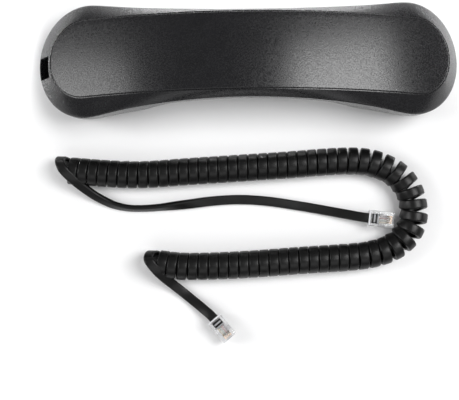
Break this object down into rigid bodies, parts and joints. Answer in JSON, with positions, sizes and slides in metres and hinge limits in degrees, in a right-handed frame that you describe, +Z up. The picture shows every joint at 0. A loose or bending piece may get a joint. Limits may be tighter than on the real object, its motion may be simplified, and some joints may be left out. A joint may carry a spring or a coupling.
{
  "type": "telephone handset",
  "caption": "Desk telephone handset lying face down, with its unplugged flat curly cord and a clear modular plug on each end.",
  "frame": {"origin": "under the middle of the handset, on the surface that its two cup rims rest on", "axes": "+X along the handset from the mouth end with the cord socket to the ear end, +Z up through the arched back; the cord lies on the -Y side"},
  "size_m": [0.206, 0.1634, 0.044],
  "materials": {
    "shell": "fine spark-eroded grain, semi-matte black",
    "jack": "plain moulded black",
    "cord": "satin flexible jacket, lengthwise drawn marks",
    "clear": "clear polished polycarbonate",
    "gold": "gold-plated, polished",
    "steel": "zinc-plated",
    "ballast": "plain cast",
    "magnet": "nickel-plated",
    "copper": "enamelled winding",
    "film": "thin amber film",
    "rubber": "soft black rubber",
    "felt": "black felt",
    "foam": "closed-cell foam",
    "board": "green solder mask",
    "red": "wire insulation",
    "green": "wire insulation",
    "yellow": "wire insulation",
    "black": "wire insulation"
  },
  "bodies": {
    "handset": {"ballast_foam_pad": "foam", "ballast_screw_ear_side": "steel", "ballast_screw_mouth_side": "steel", "ballast_weight": "ballast", "circuit_board": "board", "curly_coil": "cord", "ear_felt": "felt", "front_shell": "shell", "jack_housing": "jack", "lead_a": "cord", "lead_b": "cord", "mic_boot": "rubber", "mic_capsule": "steel", "mic_felt": "felt", "plug_a_body": "clear", "plug_a_conductor_1": "yellow", "plug_a_conductor_2": "green", "plug_a_conductor_3": "red", "plug_a_conductor_4": "black", "plug_a_contact_1": "gold", "plug_a_contact_2": "gold", "plug_a_contact_3": "gold", "plug_a_contact_4": "gold", "plug_b_body": "clear", "plug_b_conductor_1": "yellow", "plug_b_conductor_2": "green", "plug_b_conductor_3": "red", "plug_b_conductor_4": "black", "plug_b_contact_1": "gold", "plug_b_contact_2": "gold", "plug_b_contact_3": "gold", "plug_b_contact_4": "gold", "rear_shell": "shell", "receiver_frame": "jack", "receiver_gasket": "rubber", "receiver_magnet": "magnet", "shell_screw_ear_side": "steel", "shell_screw_mouth_side": "steel", "wire_black": "black", "wire_red": "red"},
    "plug_a_latch": {"plug_a_latch": "clear"},
    "plug_b_latch": {"plug_b_latch": "clear"},
    "jack_springs": {"jack_contact_1": "gold", "jack_contact_2": "gold", "jack_contact_3": "gold", "jack_contact_4": "gold"},
    "receiver_moving": {"receiver_diaphragm": "film", "receiver_voice_coil": "copper"}
  },
  "joints": [
    {"name": "plug_a_latch_press", "type": "hinge", "parent": "handset", "child": "plug_a_latch", "pos_m": [0.07021, -0.07715, 0.0024], "axis": [0.1219, 0.9925, 0], "range_deg": [0, 6], "stiffness_Nm_per_rad": 0.02},
    {"name": "plug_b_latch_press", "type": "hinge", "parent": "handset", "child": "plug_b_latch", "pos_m": [-0.01065, -0.13342, 0.0024], "axis": [0.766, 0.6428, 0], "range_deg": [0, 6], "stiffness_Nm_per_rad": 0.02},
    {"name": "jack_contact_deflection", "type": "hinge", "parent": "handset", "child": "jack_springs", "pos_m": [-0.0815, -0.0016, 0.0188], "axis": [0, 1, 0], "range_deg": [0, 5], "stiffness_Nm_per_rad": 0.01},
    {"name": "diaphragm_travel", "type": "slide", "parent": "handset", "child": "receiver_moving", "axis": [0, 0, 1], "range_m": [-0.0002, 0.0002], "stiffness_N_per_m": 500}
  ]
}
